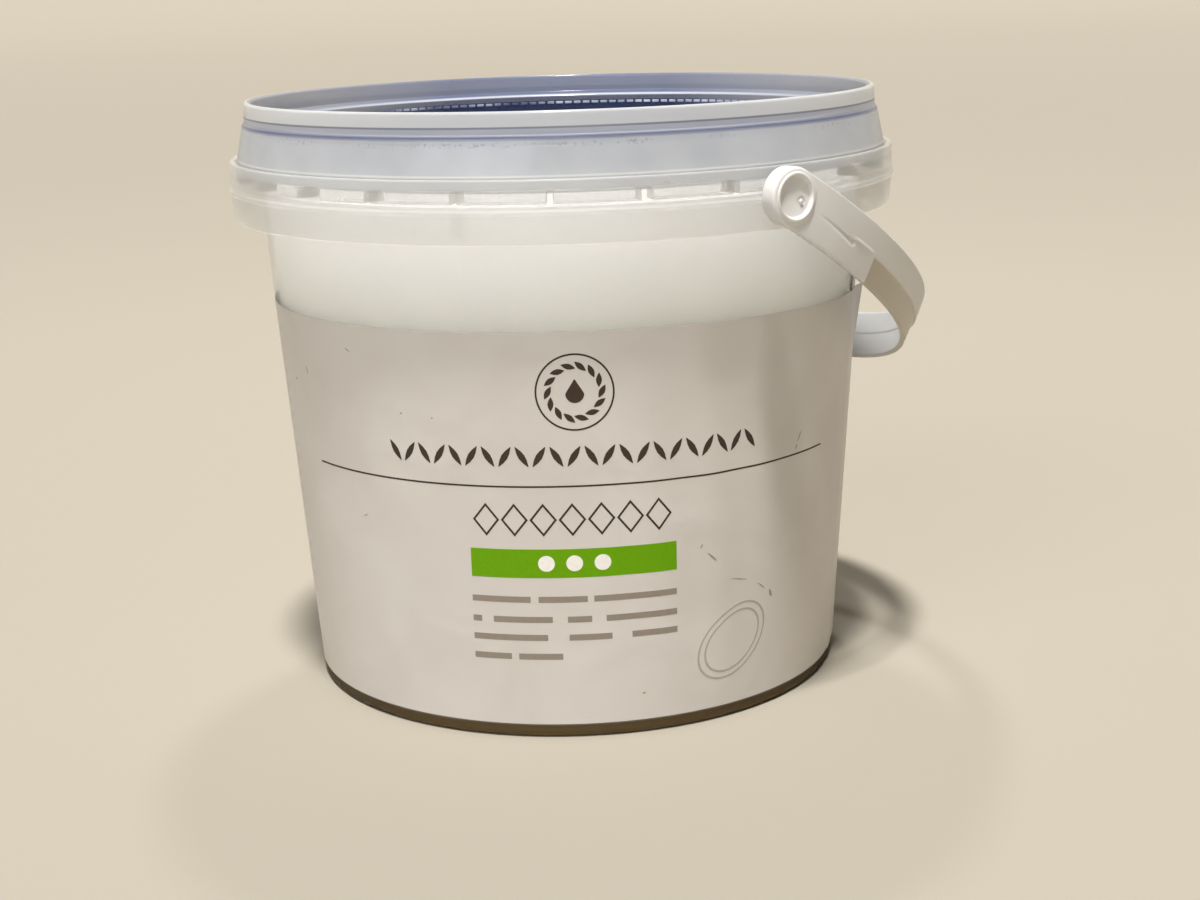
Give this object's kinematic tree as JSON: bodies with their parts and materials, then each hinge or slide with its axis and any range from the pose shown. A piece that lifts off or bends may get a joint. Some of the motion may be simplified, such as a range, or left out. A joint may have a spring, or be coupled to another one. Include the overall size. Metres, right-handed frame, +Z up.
{
  "type": "tub of burrata",
  "caption": "Shut translucent tub of burrata in milky whey, with a press-on lid, a wrap-round label and a bail handle that swings over the lid.",
  "frame": {"origin": "centre of the base, on the surface the tub stands on", "axes": "+Z up along the tub's axis, -Y out of the front of the label; the handle hangs to the right and back, and swings about an axis turned 36 degrees from -Y towards +X"},
  "size_m": [0.1409, 0.1393, 0.118],
  "materials": {
    "tub_plastic": "clear-to-milky injection-moulded polypropylene, satin gloss",
    "lid_plastic": "clear injection-moulded polypropylene with a frosted skirt",
    "milky_whey": "opaque cream-white liquid",
    "label_paper": "satin white printed label",
    "handle_plastic": "white injection-moulded polypropylene"
  },
  "bodies": {
    "tub": {"tub": "tub_plastic", "lid": "lid_plastic", "contents": "milky_whey", "label": "label_paper"},
    "handle": {"handle": "handle_plastic"}
  },
  "joints": [
    {"name": "handle_swing", "type": "hinge", "parent": "tub", "child": "handle", "pos_m": [0, 0, 0.1012], "axis": [0.5878, -0.809, 0], "range_deg": [0, 240]}
  ]
}
